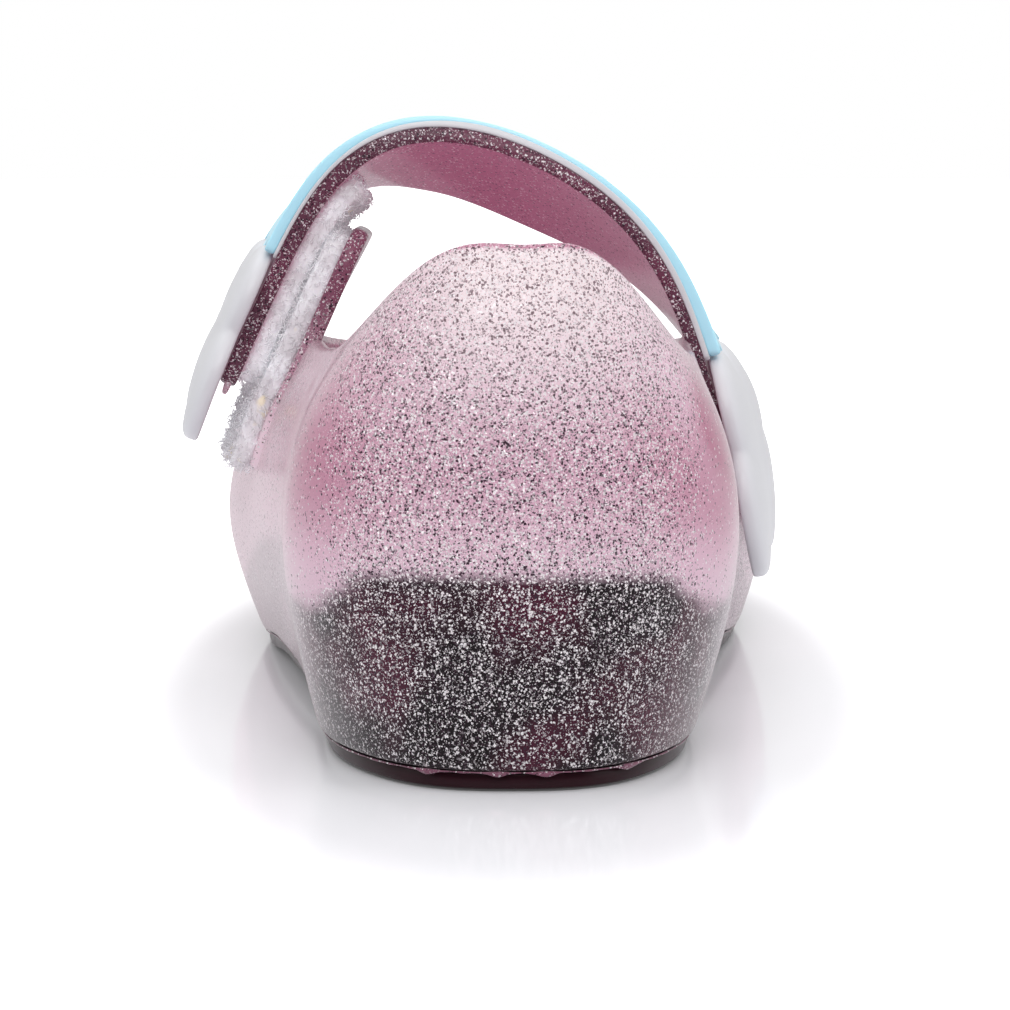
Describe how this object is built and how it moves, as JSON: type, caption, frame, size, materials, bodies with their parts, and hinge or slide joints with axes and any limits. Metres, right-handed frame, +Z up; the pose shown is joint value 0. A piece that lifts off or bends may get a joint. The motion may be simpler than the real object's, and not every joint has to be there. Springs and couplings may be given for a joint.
{
  "type": "jelly sandal",
  "caption": "Toddler's left jelly sandal: moulded glitter shell with closed heel, low vamp and open toe, wedge sole, and a hook-and-loop ankle strap with puffed end plates.",
  "frame": {"origin": "centre of the heel's flat spot on the outsole, on the floor", "axes": "+Y to the toe, +X to the medial side, +Z up"},
  "size_m": [0.0719, 0.1646, 0.0654],
  "materials": {
    "glitter_jelly": "glossy translucent mauve-pink jelly with silver glitter",
    "outsole_jelly": "dark maroon jelly, satin gloss",
    "midsole_foam": "dark foamed core, matt",
    "insole_lining": "soft matt pink footbed lining",
    "white_rubber": "white soft rubber, satin",
    "blue_rubber": "light blue soft rubber, satin",
    "fastening_tape": "white fuzzy hook-and-loop tape"
  },
  "bodies": {
    "root": {"upper": "glitter_jelly", "outsole": "outsole_jelly", "midsole": "midsole_foam", "insole": "insole_lining", "strap_backing": "white_rubber", "strap_band": "blue_rubber", "plate_lateral": "white_rubber", "plate_medial": "white_rubber", "loop_tape": "fastening_tape", "hook_tape": "fastening_tape"}
  },
  "joints": []
}
